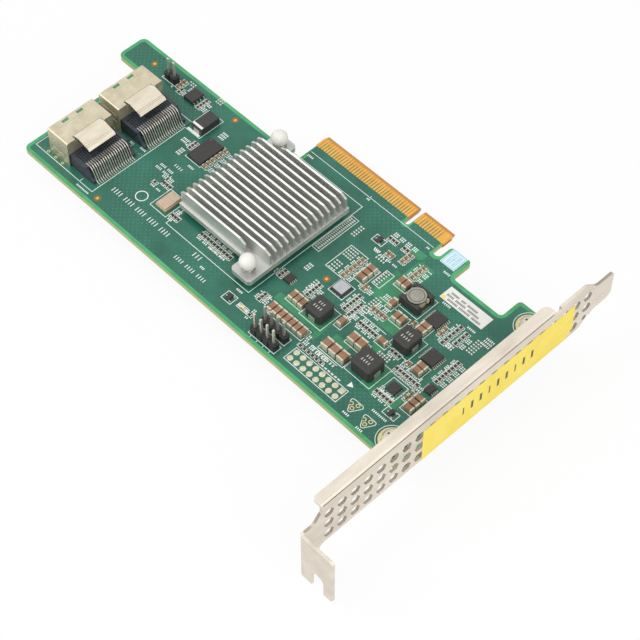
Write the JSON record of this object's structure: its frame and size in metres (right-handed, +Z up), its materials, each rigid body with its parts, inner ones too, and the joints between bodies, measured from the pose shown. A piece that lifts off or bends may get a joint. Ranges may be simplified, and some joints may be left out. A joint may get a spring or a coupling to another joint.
{
  "type": "raid controller card",
  "caption": "Server storage controller card with a full height slotted bracket, finned heat sink, two internal cable sockets and a card edge connector.",
  "frame": {"origin": "middle of the key notch, on the line of the edge connector tips, at the component side of the board", "axes": "+X along the board to the bracket, +Y out of the edge connector, +Z up from the component side"},
  "size_m": [0.1798, 0.12, 0.026],
  "materials": {
    "solder_mask": "satin",
    "gold": "polished",
    "bracket_steel": "satin",
    "screw_steel": "satin",
    "cage_metal": "satin",
    "socket_plastic": "matte",
    "tinned_metal": "satin",
    "sink_aluminium": "satin",
    "pin_nylon": "satin",
    "spring_steel": "satin",
    "thermal_pad": "matte",
    "chip_black": "matte",
    "oscillator_cream": "satin",
    "header_plastic": "matte",
    "coil_grey": "matte",
    "copper_wire": "satin",
    "tantalum_case": "matte",
    "led_lens": "glossy",
    "capacitor_ceramic": "satin",
    "resistor_black": "satin",
    "lid_metal": "satin",
    "solder": "satin",
    "label_yellow": "matte",
    "label_white": "matte"
  },
  "bodies": {
    "root": {"circuit_board": "solder_mask", "edge_contacts_top": "gold", "edge_contacts_bottom": "gold", "bracket": "bracket_steel", "bracket_screws": "screw_steel", "bracket_label": "label_yellow", "sas_cage_1": "cage_metal", "sas_housing_1": "socket_plastic", "sas_terminals_1": "tinned_metal", "sas_cage_2": "cage_metal", "sas_housing_2": "socket_plastic", "sas_terminals_2": "tinned_metal", "heat_sink": "sink_aluminium", "thermal_pad": "thermal_pad", "controller_chip": "chip_black", "push_pin_1": "pin_nylon", "push_pin_2": "pin_nylon", "push_pin_spring_1": "spring_steel", "push_pin_spring_2": "spring_steel", "front_header": "header_plastic", "front_header_pins": "gold", "rear_header": "header_plastic", "rear_header_pins": "gold", "side_header": "header_plastic", "side_header_pins": "gold", "filled_header_holes": "solder", "memory_chip": "chip_black", "oscillator": "oscillator_cream", "configuration_chip": "chip_black", "driver_chips": "chip_black", "switch_chips": "chip_black", "regulator_chip": "chip_black", "lidded_chip": "chip_black", "lidded_chip_cover": "lid_metal", "transistors": "chip_black", "chip_leads": "tinned_metal", "power_inductors": "coil_grey", "inductor_terminals": "tinned_metal", "drum_inductor": "coil_grey", "drum_winding": "copper_wire", "moulded_capacitor": "tantalum_case", "moulded_capacitor_leads": "tinned_metal", "status_led": "led_lens", "ceramic_capacitors": "capacitor_ceramic", "ceramic_capacitor_ends": "tinned_metal", "small_capacitors": "capacitor_ceramic", "chip_resistors": "resistor_black", "product_label": "label_white", "inspection_sticker": "label_yellow"}
  },
  "joints": []
}
